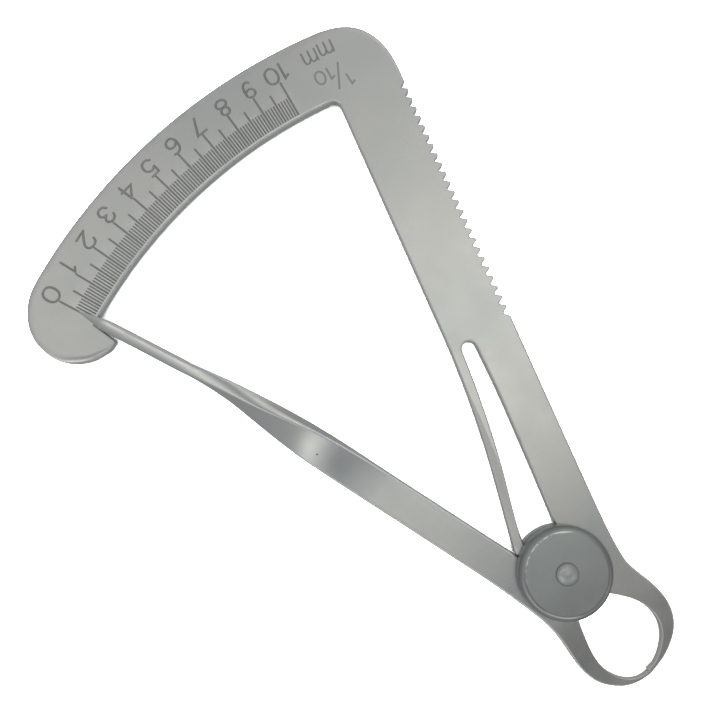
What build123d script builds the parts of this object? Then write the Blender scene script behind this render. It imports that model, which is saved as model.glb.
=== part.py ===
from build123d import *
import math
import os

# Dental thickness caliper, closed at rest.
# Millimetres. The pivot axis is x = y = 0, +Y runs along the frame arm, +Z
# leaves the scale face, and z = 0 is the flat face of the back disc that the
# instrument lies on.

# ---------------------------------------------------------------- dimensions
T_PLATE = 1.8            # thickness of both stamped arms
T_BACK = 1.6             # back disc
T_FRONT = 2.3            # front disc
GAP_Z = 0.02             # running gap between a disc and the arms
LAP_GAP = 0.02           # half the running gap in the half-lap

Z_BACK = T_BACK + GAP_Z              # back face of the arms
Z_FACE = Z_BACK + T_PLATE            # scale face of the arms
Z_MID = Z_BACK + T_PLATE / 2
Z_CAP = Z_FACE + GAP_Z               # underside of the front disc
Z_TOP = Z_CAP + T_FRONT              # flat face of the front disc

R_DISC = 6.5             # front disc
R_DISC_BACK = 6.25       # back disc
R_BOSS = 3.4             # half-thickness bosses of the lap; the leaf's end passes them
R_SHOULDER = 3.5         # shoulders of the full-thickness arms
R_PIN = 1.25             # rivet shank
R_HEAD = 1.45            # rivet head
H_HEAD = 0.75            # height of the head
H_RIM = 0.18             # straight rim under its dome
R_TAIL, H_TAIL = 1.75, 0.55          # countersunk tail, flush with the back disc
PIN_FIT = 0.05           # radial running clearance in the pointer arm
PIN_SEAT = 0.01          # radial clearance in frame and discs

R_IN = 74.15             # inner edge of the scale sector
R_OUT = 84.55            # outer edge of the scale sector
A_TEN = 6.09             # direction of the 10 mark, degrees from +Y towards -X
A_STEP = 3.235           # one millimetre of jaw opening
A_ZERO = A_TEN + 10 * A_STEP
R_TICK_IN, R_TICK_01, R_TICK_05, R_TICK_1 = 74.65, 77.5, 79.08, 80.06
W_TICK_01, W_TICK_1 = 0.17, 0.24
ENGRAVE = 0.10           # depth of the graduations and figures
R_FIG = 82.8             # foot of the figures; their tops point at the pivot
W_FIG = 0.28             # stroke of the figures

X_INNER = -1.75          # inner edge of the frame arm above the slot
X_GRIP = 8.2             # tips of the finger serrations
X_GRIP_ROOT = 7.44
TOOTH = 1.505            # serration pitch
N_TEETH = 24
Y_TOOTH_TOP = 72.15      # uppermost valley
Y_LEAF = 33.6            # root of the leaf spring
X_LEAF_L, X_LEAF_R = -1.775, -0.20

W_ARM = 5.07             # pointer arm across the flat
A_ARM = 33.7             # direction of its flat part
OFF_ARM = 4.15           # its centre line passes the pivot at this distance
S_TWIST0, S_TWIST1 = 27.0, 60.3      # where the quarter twist begins and ends
S_BEND = 52.7
W_BLADE = 1.70           # thickness of the blade
SLIT = 2.1               # width of the slit that straddles the sector
R_SLIT = 73.2            # bottom of the slit
R_APEX = 76.9            # reading point

A_JAW = 162.8            # direction of the measuring points when closed
SEAM_IN, SEAM_OUT, SEAM_GAP = 17.55, 18.35, 0.015    # end of the frame's jaw
TIP_IN, TIP_OUT = 17.78, 18.30       # end of the pointer's jaw, a little finer
JAW_TIP_T = 1.0          # thickness of the jaws at the points
Y_THIN0, Y_THIN1 = -7.5, -18.4       # the jaws thin between these


# ------------------------------------------------------------------- helpers
def polar(r, a):
    """Point at radius r, a degrees from +Y towards -X."""
    return (-r * math.sin(math.radians(a)), r * math.cos(math.radians(a)))


class Path:
    """Chain of edges that becomes one closed face."""

    def __init__(self, start):
        self.at, self.first, self.edges = start, start, []

    def line(self, *pts):
        for p in pts:
            self.edges.append(Line(self.at, p).edge())
            self.at = p
        return self

    def arc(self, mid, end):
        self.edges.append(ThreePointArc(self.at, mid, end).edge())
        self.at = end
        return self

    def spline(self, *pts):
        self.edges.append(Spline(self.at, *pts).edge())
        self.at = pts[-1]
        return self

    def face(self):
        if math.dist(self.at, self.first) > 1e-6:
            self.line(self.first)
        return Face(Wire(self.edges))


def slab(face, z0, z1):
    return Pos(0, 0, z0) * extrude(face, amount=z1 - z0, dir=(0, 0, 1))


def post(r, z0, z1):
    return Pos(0, 0, (z0 + z1) / 2) * Cylinder(r, z1 - z0)


def seam_pt(r, s):
    """Point r from the pivot on the seam of the measuring points, s beside it."""
    ux, uy = math.sin(math.radians(A_JAW)), math.cos(math.radians(A_JAW))
    return (ux * r - uy * s, uy * r + ux * s)


apex = polar(R_APEX, A_ZERO)


def arm_pt(s, off):
    """Point s along the flat of the pointer arm, off to its left."""
    dx, dy = -math.sin(math.radians(A_ARM)), math.cos(math.radians(A_ARM))
    return (-dy * (OFF_ARM + off) + dx * s, dx * (OFF_ARM + off) + dy * s)


bend_at = arm_pt(S_BEND, 0)
L_BLADE = math.dist(bend_at, apex)
d1 = (-math.sin(math.radians(A_ARM)), math.cos(math.radians(A_ARM)))
d2 = ((apex[0] - bend_at[0]) / L_BLADE, (apex[1] - bend_at[1]) / L_BLADE)


def blade_pt(back, off):
    """Point behind the reading point along the blade, off to its left."""
    return (apex[0] - d2[0] * back - d2[1] * off, apex[1] - d2[1] * back + d2[0] * off)


# Wedges that thin both jaws towards the measuring points, front and back.
thinning = []
for s in (1, -1):
    z_flat, z_tip = Z_MID + s * T_PLATE / 2, Z_MID + s * JAW_TIP_T / 2
    w = Wire(Polyline((Y_THIN0, z_flat), (Y_THIN1, z_tip), (Y_THIN1 - 4, z_tip),
                      (Y_THIN1 - 4, z_flat + s * 2), (Y_THIN0, z_flat + s * 2),
                      (Y_THIN0, z_flat)).edges())
    thinning.append(extrude(Plane.YZ * Face(w), amount=30, both=True))

boss = Face(Wire(Edge.make_circle(R_BOSS)))

# --------------------------------------------------------------- scale frame
# The stop edge of the hook lies along the left side of the closed blade.
root = blade_pt(2.75, 0.64)
stop_end = blade_pt(6.25, 1.24)
frame = Path((X_INNER, Y_LEAF + 1.0))
frame.line((X_INNER, 72.994))
frame.arc((-2.087, 73.787), (-2.893, math.sqrt(R_IN ** 2 - 2.893 ** 2)))
frame.arc(polar(R_IN, 20.0), polar(R_IN, math.degrees(math.atan2(-root[0], root[1]))))
frame.line(stop_end)
frame.arc((stop_end[0] + 0.05, stop_end[1] - 0.32), (stop_end[0] - 0.27, stop_end[1] - 0.62))
frame.spline((-45.73, 53.52), (-46.49, 53.27), (-47.29, 53.07), (-48.11, 52.96), (-48.84, 52.97),
             (-49.99, 53.17), (-51.47, 53.76), (-52.68, 54.5), (-53.81, 55.72), (-54.6, 57.1), (-55.13, 58.6), (-55.31, 60.05),
             (-55.17, 61.6), (-54.55, 63.45), (-53.54, 65.14), (-52.25, 66.45), polar(R_OUT, 36.75))
frame.arc(polar(R_OUT, 19.0), polar(R_OUT, 1.2))
frame.spline((-0.3, 84.52), (1.5, 84.33), (3.2, 83.90), (4.6, 83.20), (5.75, 82.25), (6.7, 81.05),
             (7.42, 79.6), (7.9, 78.0), (8.15, 76.2), (8.22, 74.5), (X_GRIP, 72.9))
y = Y_TOOTH_TOP
frame.line((X_GRIP, y + 0.60))
for k in range(N_TEETH + 1):
    frame.line((X_GRIP_ROOT, y + 0.12), (X_GRIP_ROOT, y - 0.12))
    if k < N_TEETH:
        frame.line((X_GRIP, y - 0.57), (X_GRIP, y - TOOTH + 0.57))
        y -= TOOTH
frame.line((X_GRIP - 0.05, y - 0.72))
frame.line((X_GRIP - 0.08, 14.0))
frame.spline((8.14, 8.0), (8.2, 3.5), (8.33, 0.6), (8.62, -2.05))
frame.spline((9.18, -3.50), (9.79, -4.65), (10.42, -5.83), (10.94, -6.93), (11.36, -8.15),
             (11.66, -9.5), (11.66, -10.9), (11.37, -12.25), (10.75, -13.5), (9.59, -14.87),
             (7.97, -16.18), seam_pt(SEAM_OUT, SEAM_GAP))
frame.line(seam_pt(SEAM_IN, SEAM_GAP))
frame.spline((6.35, -16.35), (7.5, -15.42), (8.45, -14.3), (9.1, -13.1), (9.38, -11.8),
             (9.24, -10.4), (8.72, -9.1), (7.95, -7.98), (7.06, -7.07), (6.1, -6.32),
             (4.9, -5.50), (3.1, -4.55))
frame.line((1.71, -3.9), (1.71, 6.0))
frame.spline((1.86, 12.0), (1.99, 20.0), (2.03, 27.0), (1.86, 33.35))
frame.arc((0.83, 34.35), (X_LEAF_R, Y_LEAF))
frame.line((X_LEAF_L, Y_LEAF))
scale_frame = slab(frame.face(), Z_BACK, Z_FACE)
scale_frame -= post(R_SHOULDER, Z_BACK - 1, Z_MID + LAP_GAP)
scale_frame += slab(boss, Z_MID + LAP_GAP, Z_FACE)
scale_frame -= post(R_PIN + PIN_SEAT, 0, 8)
for wedge in thinning:
    scale_frame -= wedge

# Graduations: tenths, halves and whole millimetres.
cuts = []
for i in range(101):
    a = A_ZERO - i * A_STEP / 10
    if i % 10 == 0:
        r1, w = R_TICK_1, W_TICK_1
    elif i % 5 == 0:
        r1, w = R_TICK_05, W_TICK_1
    else:
        r1, w = R_TICK_01, W_TICK_01
    cx, cy = polar((R_TICK_IN + r1) / 2, a)
    cuts.append(Pos(cx, cy, Z_FACE) * Rot(0, 0, a) * Box(w, r1 - R_TICK_IN, 2 * ENGRAVE))


# Figures: single strokes in millimetres, u to the reader's right and v up.
def ellipse(cu, cv, ru, rv, n=28):
    return [(cu + ru * math.cos(2 * math.pi * k / n), cv + rv * math.sin(2 * math.pi * k / n))
            for k in range(n)]


def smooth(pts, n=4):
    """Points of a smooth curve through pts."""
    out = []
    for k in range(len(pts) - 1):
        p0, p1 = pts[max(k - 1, 0)], pts[k]
        p2, p3 = pts[k + 1], pts[min(k + 2, len(pts) - 1)]
        for j in range(n):
            t = j / n
            out.append(tuple(0.5 * (2 * p1[i] + (p2[i] - p0[i]) * t
                                    + (2 * p0[i] - 5 * p1[i] + 4 * p2[i] - p3[i]) * t * t
                                    + (3 * p1[i] - p0[i] - 3 * p2[i] + p3[i]) * t ** 3)
                             for i in (0, 1)))
    return out + [pts[-1]]


def place(pts, a, foot):
    """Bring figure points to the sector: foot at that radius, centred at a."""
    return [polar(foot - v, a + math.degrees(u / 81.5)) for u, v in pts]


def side_pts(pts, h, closed):
    """Points beside a line at distance h to its left."""
    out, n = [], len(pts)
    for k in range(n):
        p0 = pts[(k - 1) % n] if closed or k else pts[0]
        p2 = pts[(k + 1) % n] if closed or k < n - 1 else pts[-1]
        a0 = math.atan2(pts[k][1] - p0[1], pts[k][0] - p0[0]) if p0 != pts[k] else None
        a1 = math.atan2(p2[1] - pts[k][1], p2[0] - pts[k][0]) if p2 != pts[k] else None
        a0 = a1 if a0 is None else a0
        a1 = a0 if a1 is None else a1
        turn = (a1 - a0 + math.pi) % (2 * math.pi) - math.pi
        m = a0 + turn / 2 + math.pi / 2
        reach = h / max(math.cos(turn / 2), 0.5)
        out.append((pts[k][0] + reach * math.cos(m), pts[k][1] + reach * math.sin(m)))
    return out


def groove(pts, closed=False, w=W_FIG):
    h = w / 2
    z0, deep = Z_FACE - ENGRAVE, 2 * ENGRAVE
    left, right = side_pts(pts, h, closed), side_pts(pts, -h, closed)
    if closed:
        rings = [Face(Wire(Polyline(*r, r[0]).edges())) for r in (left, right)]
        rings.sort(key=lambda f: -f.area)
        both = [Pos(0, 0, z0) * extrude(f, amount=deep, dir=(0, 0, 1)) for f in rings]
        return both[0] - both[1]

    def cap(c, p):
        a = math.atan2(p[1] - c[1], p[0] - c[0])
        return [(c[0] + h * math.cos(a - math.pi * t / 4), c[1] + h * math.sin(a - math.pi * t / 4))
                for t in (1, 2, 3)]

    loop = left + cap(pts[-1], left[-1]) + right[::-1] + cap(pts[0], right[0])
    f = Face(Wire(Polyline(*loop, loop[0]).edges()))
    return Pos(0, 0, z0) * extrude(f, amount=deep, dir=(0, 0, 1))


FIGURES = {
    "0": [("ring", ellipse(-0.26, 1.20, 0.97, 1.22))],
    "1": [("line", [(-0.79, 2.02), (-0.21, 2.44), (-0.21, -0.06)])],
    "2": [("bow", [(-1.15, 1.80), (-0.92, 2.30), (-0.29, 2.48), (0.38, 2.28), (0.58, 1.72),
                   (0.15, 1.08), (-1.01, 0.02)]), ("line", [(-1.08, 0.0), (0.65, 0.08)])],
    "3": [("bow", [(-1.12, 1.86), (-0.80, 2.34), (-0.30, 2.47), (0.26, 2.26), (0.42, 1.86),
                   (0.20, 1.48), (-0.22, 1.30)]),
          ("bow", [(-0.16, 1.30), (0.34, 1.06), (0.52, 0.66), (0.34, 0.18), (-0.10, -0.02),
                   (-0.72, 0.14), (-1.03, 0.60)])],
    "4": [("line", [(0.12, 2.50), (-1.20, 0.98), (0.61, 0.94)]), ("line", [(0.15, 2.42), (0.30, 0.06)])],
    "5": [("line", [(0.38, 2.52), (-0.86, 2.50), (-0.90, 1.50)]),
          ("bow", [(-0.86, 1.52), (-0.23, 1.78), (0.38, 1.48), (0.57, 0.93), (0.35, 0.28),
                   (-0.37, 0.02), (-1.03, 0.42)])],
    "6": [("bow", [(0.38, 2.40), (-0.22, 2.48), (-0.80, 2.12), (-1.02, 1.40), (-1.00, 0.80),
                   (-0.76, 0.26), (-0.28, 0.05)]),
          ("bow", [(-0.32, 0.05), (0.30, 0.26), (0.52, 0.76), (0.34, 1.26), (-0.06, 1.46),
                   (-0.62, 1.34), (-1.00, 0.94)])],
    "7": [("line", [(-0.92, 2.52), (0.66, 2.55), (-0.48, 0.08)])],
    "8": [("ring", ellipse(-0.18, 1.97, 0.64, 0.56)), ("ring", ellipse(-0.18, 0.75, 0.80, 0.62))],
    "9": [("ring", ellipse(-0.11, 1.80, 0.70, 0.62)),
          ("bow", [(0.60, 1.78), (0.56, 1.10), (0.38, 0.46), (-0.02, 0.08), (-0.33, 0.03),
                   (-0.64, 0.32)])],
    "10": [("line", [(-1.64, 2.10), (-1.06, 2.44), (-1.06, 0.06)]),
           ("ring", ellipse(0.62, 1.27, 0.90, 1.20))],
}
for k in range(11):
    for kind, pts in FIGURES[str(k)]:
        pts = smooth(pts) if kind == "bow" else pts
        cuts.append(groove(place(pts, A_ZERO - k * A_STEP, R_FIG), closed=kind == "ring"))

# Unit marks beside the 10: millimetres, and tenths for the fine graduations.
for a, foot in ((0.28, 82.75), (2.12, 82.50)):
    for kind, pts in (("line", [(-1.0, 1.80), (-1.0, 0.0)]),
                      ("bow", [(-0.98, 1.30), (-0.62, 1.76), (-0.18, 1.76), (0.0, 1.30)]),
                      ("line", [(0.0, 1.34), (0.0, 0.0)]),
                      ("bow", [(0.02, 1.30), (0.38, 1.76), (0.82, 1.76), (1.0, 1.30)]),
                      ("line", [(1.0, 1.34), (1.0, 0.0)])):
        pts = smooth(pts) if kind == "bow" else pts
        cuts.append(groove(place(pts, a, foot), w=0.24))
for kind, pts in (("line", [(-1.14, 3.40), (-0.62, 3.68), (-0.32, 2.12)]),
                  ("line", [(1.55, 3.65), (0.18, -0.02)]),
                  ("line", [(1.42, 1.60), (1.98, 1.88), (2.12, 0.16)]),
                  ("ring", ellipse(3.54, 1.05, 0.76, 1.0))):
    cuts.append(groove(place(pts, -0.38, 79.1), closed=kind == "ring", w=0.2))
scale_frame -= cuts

# --------------------------------------------------------------- leaf spring
# Sheared free along the slot; its end lies along the edge of the pointer arm.
leaf = Path((X_LEAF_L, Y_LEAF))
leaf.spline((-2.0, 28.7), (-2.39, 23.55), (-2.91, 18.75), (-3.63, 13.64), (-4.40, 8.73),
            (-4.74, 6.6), (-4.99, 5.05))
leaf.arc((-5.015, 4.88), (-4.95, 4.74))
leaf.line((-4.30, 3.765), (-3.50, 4.45), (-3.43, 5.95))
leaf.spline((-2.87, 9.9), (-2.02, 14.7), (-1.42, 18.6), (-0.93, 22.8), (-0.48, 28.2),
            (X_LEAF_R, Y_LEAF))
leaf_spring = slab(leaf.face(), Z_BACK, Z_FACE)

# --------------------------------------------------------------- pointer arm
hw = W_ARM / 2
ptr = Path(arm_pt(S_TWIST0, -hw))
ptr.line(arm_pt(4.6, -hw), (-1.5, 0.0), (-0.80, -4.5))
ptr.spline((-0.72, -5.9), (-0.78, -7.4), (-0.86, -9.0), (-0.88, -10.5), (-0.82, -11.95),
           (-0.52, -13.45), (0.03, -14.75), (0.80, -15.80), (1.80, -16.62), (3.0, -17.15),
           (4.15, -17.25), seam_pt(TIP_IN, -SEAM_GAP))
ptr.line(seam_pt(TIP_OUT, -SEAM_GAP))
ptr.spline((4.35, -17.72), (2.95, -17.82), (1.45, -17.60), (0.17, -17.05), (-0.95, -16.35),
           (-1.85, -15.50), (-2.60, -14.35), (-3.15, -13.1), (-3.62, -11.1), (-4.02, -8.85),
           (-4.52, -7.05), (-5.36, -5.01), (-6.42, -3.05), (-8.18, -0.05), (-10.03, 2.95),
           arm_pt(11.1, hw))
ptr.line(arm_pt(S_TWIST0, hw))
pointer_arm = slab(ptr.face(), Z_BACK, Z_FACE)
pointer_arm -= post(R_SHOULDER, Z_MID - LAP_GAP, Z_FACE + 1)
pointer_arm += slab(boss, Z_BACK, Z_MID - LAP_GAP)
pointer_arm -= post(R_PIN + PIN_FIT, 0, 8)
for wedge in thinning:
    pointer_arm -= wedge


# Beyond the flat the strip turns through 90 degrees: its inner edge comes to
# face the reader, and the blade stands on edge.
def centre(s, h=3.0):
    """Centre line: straight, a short bend, straight to the reading point."""
    if s <= S_BEND - h:
        return arm_pt(s, 0), d1
    if s >= S_BEND + h:
        k = s - S_BEND
        return (bend_at[0] + d2[0] * k, bend_at[1] + d2[1] * k), d2
    u = (s - S_BEND + h) / (2 * h)
    a, b, c = arm_pt(S_BEND - h, 0), bend_at, (bend_at[0] + d2[0] * h, bend_at[1] + d2[1] * h)
    p = tuple((1 - u) ** 2 * a[i] + 2 * u * (1 - u) * b[i] + u * u * c[i] for i in (0, 1))
    d = tuple((1 - u) * d1[i] + u * d2[i] for i in (0, 1))
    return p, (d[0] / math.hypot(*d), d[1] / math.hypot(*d))


def twist(s):
    u = min(1.0, max(0.0, (s - S_TWIST0) / (S_TWIST1 - S_TWIST0)))
    return 90.0 * (u - math.sin(2 * math.pi * u) / (4 * math.pi))


def section(s, width, thick, turn):
    p, d = centre(s)
    a = math.radians(turn)
    across = Vector(-d[1], d[0], 0) * math.cos(a) - Vector(0, 0, 1) * math.sin(a)
    return Plane(origin=(p[0], p[1], Z_MID), x_dir=across, z_dir=(d[0], d[1], 0)) * Rectangle(width, thick)


S_END = S_BEND + L_BLADE
S_FULL = S_END - (R_APEX - 72.6)     # the point starts to narrow here
stations = [S_TWIST0 + (S_TWIST1 - S_TWIST0) * k / 11 for k in range(12)]
pointer_arm += loft([section(s, W_ARM, T_PLATE, twist(s)) for s in stations])
pointer_arm += loft([section(S_TWIST1, W_ARM, T_PLATE, 90), section(S_FULL, W_ARM, W_BLADE, 90)],
                    ruled=True)
pointer_arm += loft([section(S_FULL, W_ARM, W_BLADE, 90), section(S_END, 2.62, 0.16, 90)], ruled=True)
s_slit = S_END - (R_APEX - R_SLIT)
mid, way = centre((s_slit + S_END + 3) / 2)
pointer_arm -= Plane(origin=(mid[0], mid[1], Z_MID), x_dir=(way[0], way[1], 0), z_dir=(0, 0, 1)) * Box(
    S_END + 3 - s_slit, 6, SLIT)
# the corners of the twist are ground level with the resting face
pointer_arm -= Pos(0, 0, -5) * Box(200, 200, 10)

# -------------------------------------------------------------- pivot pieces
front_disc = post(R_DISC, Z_CAP, Z_TOP)
front_disc = fillet(front_disc.edges().group_by(Axis.Z)[-1], 0.90)
front_disc = fillet(front_disc.edges().group_by(Axis.Z)[0], 0.12)
front_disc -= post(R_PIN + PIN_SEAT, 0, 9)

back_disc = post(R_DISC_BACK, 0, T_BACK)
back_disc = fillet(back_disc.edges().group_by(Axis.Z)[0], 0.5)
back_disc = fillet(back_disc.edges().group_by(Axis.Z)[-1], 0.12)
back_disc -= post(R_PIN + PIN_SEAT, -1, 9)
sink = Path((0, -0.5))
sink.line((R_TAIL + 0.03, -0.5), (R_TAIL + 0.03, 0), (R_PIN + PIN_SEAT, H_TAIL + 0.02),
          (0, H_TAIL + 0.02))
back_disc -= revolve(Plane.XZ * sink.face(), axis=Axis.Z)

z_head = Z_TOP + 0.005
h_dome = H_HEAD - H_RIM
r_dome = (R_HEAD ** 2 + h_dome ** 2) / (2 * h_dome)
half = R_HEAD * 0.55
shank = Path((0, 0))
shank.line((R_TAIL, 0), (R_PIN, H_TAIL), (R_PIN, z_head), (R_HEAD, z_head),
           (R_HEAD, z_head + H_RIM))
shank.arc((half, z_head + H_HEAD - r_dome + math.sqrt(r_dome ** 2 - half ** 2)), (0, z_head + H_HEAD))
pivot_rivet = revolve(Plane.XZ * shank.face(), axis=Axis.Z)

nodes = {
    "scale_frame": scale_frame,
    "leaf_spring": leaf_spring,
    "pointer_arm": pointer_arm,
    "front_disc": front_disc,
    "back_disc": back_disc,
    "pivot_rivet": pivot_rivet,
}

os.makedirs("parts", exist_ok=True)
for name, shape in nodes.items():
    solids = shape.solids()
    out = solids[0] if len(solids) == 1 else Compound(solids)
    export_step(out, f"parts/{name}.step")
    print(name, len(solids), round(out.volume, 2))
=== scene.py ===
import bpy
import math
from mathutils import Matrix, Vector
from mathutils.geometry import delaunay_2d_cdt


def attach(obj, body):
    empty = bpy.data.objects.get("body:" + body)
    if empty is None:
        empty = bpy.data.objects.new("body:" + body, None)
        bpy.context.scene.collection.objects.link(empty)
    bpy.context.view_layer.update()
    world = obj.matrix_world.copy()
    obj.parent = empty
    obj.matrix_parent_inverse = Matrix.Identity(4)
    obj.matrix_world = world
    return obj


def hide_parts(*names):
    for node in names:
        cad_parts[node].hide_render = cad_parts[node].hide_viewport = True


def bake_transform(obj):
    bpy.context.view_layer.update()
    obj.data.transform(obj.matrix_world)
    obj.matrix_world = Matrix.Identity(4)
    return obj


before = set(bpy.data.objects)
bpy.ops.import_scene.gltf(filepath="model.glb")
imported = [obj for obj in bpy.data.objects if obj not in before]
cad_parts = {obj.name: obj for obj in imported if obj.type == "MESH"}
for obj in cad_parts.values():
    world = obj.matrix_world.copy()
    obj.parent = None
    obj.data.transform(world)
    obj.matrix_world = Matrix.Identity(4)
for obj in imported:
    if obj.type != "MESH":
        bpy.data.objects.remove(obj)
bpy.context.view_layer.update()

MM = 0.001
SEG = 7                                  # steps of each rounded edge

# ------------------------------------------------- dimensions, as in the CAD
Z_BACK, Z_FACE = 1.62, 3.42
Z_MID = (Z_BACK + Z_FACE) / 2
R_IN, R_OUT = 74.15, 84.55
A_TEN, A_STEP = 6.09, 3.235
A_ZERO = A_TEN + 10 * A_STEP
R_APEX = 76.9
W_ARM, A_ARM, OFF_ARM = 5.07, 33.7, 4.15
S_TWIST0, S_TWIST1, S_BEND = 27.0, 60.3, 52.7
W_BLADE, T_ARM = 1.70, 1.8
R_SHOULDER, R_BOSS, R_PIN = 3.5, 3.4, 1.26
Y_LEAF, X_LEAF_L, X_LEAF_R = 33.6, -1.775, -0.20
Y_THIN0, Y_THIN1, TIP_T = -7.5, -18.4, 1.0
A_JAW = 162.8


def polar(r, a):
    return (-r * math.sin(math.radians(a)), r * math.cos(math.radians(a)))


def seam_pt(r, s):
    ux, uy = math.sin(math.radians(A_JAW)), math.cos(math.radians(A_JAW))
    return (ux * r - uy * s, uy * r + ux * s)


D1 = (-math.sin(math.radians(A_ARM)), math.cos(math.radians(A_ARM)))


def arm_pt(s, off):
    dx, dy = D1
    return (-dy * (OFF_ARM + off) + dx * s, dx * (OFF_ARM + off) + dy * s)


APEX = polar(R_APEX, A_ZERO)
BEND = arm_pt(S_BEND, 0)
L_BLADE = math.dist(BEND, APEX)
D2 = ((APEX[0] - BEND[0]) / L_BLADE, (APEX[1] - BEND[1]) / L_BLADE)
S_END = S_BEND + L_BLADE
S_FULL = S_END - (R_APEX - 72.6)
S_SLIT = S_END - (R_APEX - 73.2)


def blade_pt(back, off):
    return (APEX[0] - D2[0] * back - D2[1] * off, APEX[1] - D2[1] * back + D2[0] * off)


# ------------------------------------------------------------ planar outlines
def rounding(r, r_end=None, t=0.0):
    """(inset, drop) of an edge rounding, part of the way from r to r_end."""
    r = r if isinstance(r, tuple) else (r, r)
    if r_end is None:
        return r
    e = r_end if isinstance(r_end, tuple) else (r_end, r_end)
    return (r[0] + (e[0] - r[0]) * t, r[1] + (e[1] - r[1]) * t)


class Trace:
    """A chain of points, each with the rounding of its edge."""

    def __init__(self, p, r):
        self.pts, self.rad = [p], [rounding(r)]

    def add(self, p, r):
        if math.dist(p, self.pts[-1]) > 1e-5:
            self.pts.append(p)
            self.rad.append(r)

    def line(self, p, r=0.4, step=1.5, r_end=None):
        a = self.pts[-1]
        n = max(1, int(math.dist(a, p) / step))
        for k in range(1, n + 1):
            t = k / n
            self.add((a[0] + (p[0] - a[0]) * t, a[1] + (p[1] - a[1]) * t), rounding(r, r_end, t))
        return self

    def arc(self, mid, end, r=0.4, step=0.6, turn=7.0, r_end=None):
        a = self.pts[-1]
        ax, ay, bx, by, cx, cy = *a, *mid, *end
        d = 2 * (ax * (by - cy) + bx * (cy - ay) + cx * (ay - by))
        ux = ((ax * ax + ay * ay) * (by - cy) + (bx * bx + by * by) * (cy - ay) + (cx * cx + cy * cy) * (ay - by)) / d
        uy = ((ax * ax + ay * ay) * (cx - bx) + (bx * bx + by * by) * (ax - cx) + (cx * cx + cy * cy) * (bx - ax)) / d
        rad = math.dist((ux, uy), a)
        a0, am, a1 = (math.atan2(p[1] - uy, p[0] - ux) for p in (a, mid, end))
        sweep = (a1 - a0) % (2 * math.pi)
        if (am - a0) % (2 * math.pi) > sweep:
            sweep -= 2 * math.pi
        n = max(2, int(abs(sweep) * rad / step), int(abs(math.degrees(sweep)) / turn))
        for k in range(1, n + 1):
            t = a0 + sweep * k / n
            self.add((ux + rad * math.cos(t), uy + rad * math.sin(t)), rounding(r, r_end, k / n))
        return self

    def curve(self, pts, r=0.4, step=0.45, r_end=None):
        """Smooth curve through pts, from the last point. r may list a rounding for each."""
        each = [rounding(x) for x in ([self.rad[-1]] + r)] if isinstance(r, list) else None
        P = [self.pts[-1]] + list(pts)
        total = len(P) - 1
        for k in range(total):
            p1, p2 = P[k], P[k + 1]
            p0 = P[k - 1] if k else (2 * p1[0] - p2[0], 2 * p1[1] - p2[1])
            p3 = P[k + 2] if k + 2 < len(P) else (2 * p2[0] - p1[0], 2 * p2[1] - p1[1])
            t0, t1, t2 = (max(math.dist(a, b), 1e-6) ** 0.5 for a, b in ((p0, p1), (p1, p2), (p2, p3)))
            m1 = [((p1[i] - p0[i]) / t0 - (p2[i] - p0[i]) / (t0 + t1) + (p2[i] - p1[i]) / t1) * t1 for i in (0, 1)]
            m2 = [((p2[i] - p1[i]) / t1 - (p3[i] - p1[i]) / (t1 + t2) + (p3[i] - p2[i]) / t2) * t1 for i in (0, 1)]
            n = max(2, int(math.dist(p1, p2) / step))
            for j in range(1, n + 1):
                t = j / n
                h = (2 * t ** 3 - 3 * t * t + 1, t ** 3 - 2 * t * t + t, -2 * t ** 3 + 3 * t * t, t ** 3 - t * t)
                rr = rounding(each[k], each[k + 1], t) if each else rounding(r, r_end, (k + t) / total)
                self.add(tuple(h[0] * p1[i] + h[1] * m1[i] + h[2] * p2[i] + h[3] * m2[i] for i in (0, 1)), rr)
        return self


# --------------------------------------------------------------- mesh builder
class Shape:
    """Vertices in millimetres, faces with a material number and corner normals."""

    def __init__(self):
        self.v, self.f, self.m, self.n, self.e = [], [], [], [], []

    def vert(self, x, y, z, edge=0.0):
        self.v.append((x, y, z))
        self.e.append(edge)
        return len(self.v) - 1

    def face(self, idx, mat=0, normals=None):
        keep = [k for k in range(len(idx)) if idx[k] != idx[k - 1]]
        if len(keep) < 3:
            return
        self.f.append([idx[k] for k in keep])
        self.m.append(mat)
        self.n.append([normals[k] for k in keep] if normals else None)

    def build(self, name, mats, smooth_deg=32.0):
        me = bpy.data.meshes.new(name)
        me.from_pydata([(x * MM, y * MM, z * MM) for x, y, z in self.v], [], self.f)
        for m in mats:
            me.materials.append(m)
        me.polygons.foreach_set("material_index", self.m)
        # edge attribute: wear on the roundings, and a painted highlight over the scale's tick band
        me.attributes.new("edge", "FLOAT", "POINT").data.foreach_set("value", self.e)
        me.shade_smooth()
        me.set_sharp_from_angle(angle=math.radians(smooth_deg))
        own = [Vector(c.vector) for c in me.corner_normals]
        out, k = [], 0
        for p, given in zip(me.polygons, self.n):
            for j in range(p.loop_total):
                out.append(tuple(Vector(given[j]).normalized()) if given else tuple(own[k]))
                k += 1
        me.normals_split_custom_set(out)
        ob = bpy.data.objects.new(name, me)
        bpy.context.scene.collection.objects.link(ob)
        return ob


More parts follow.
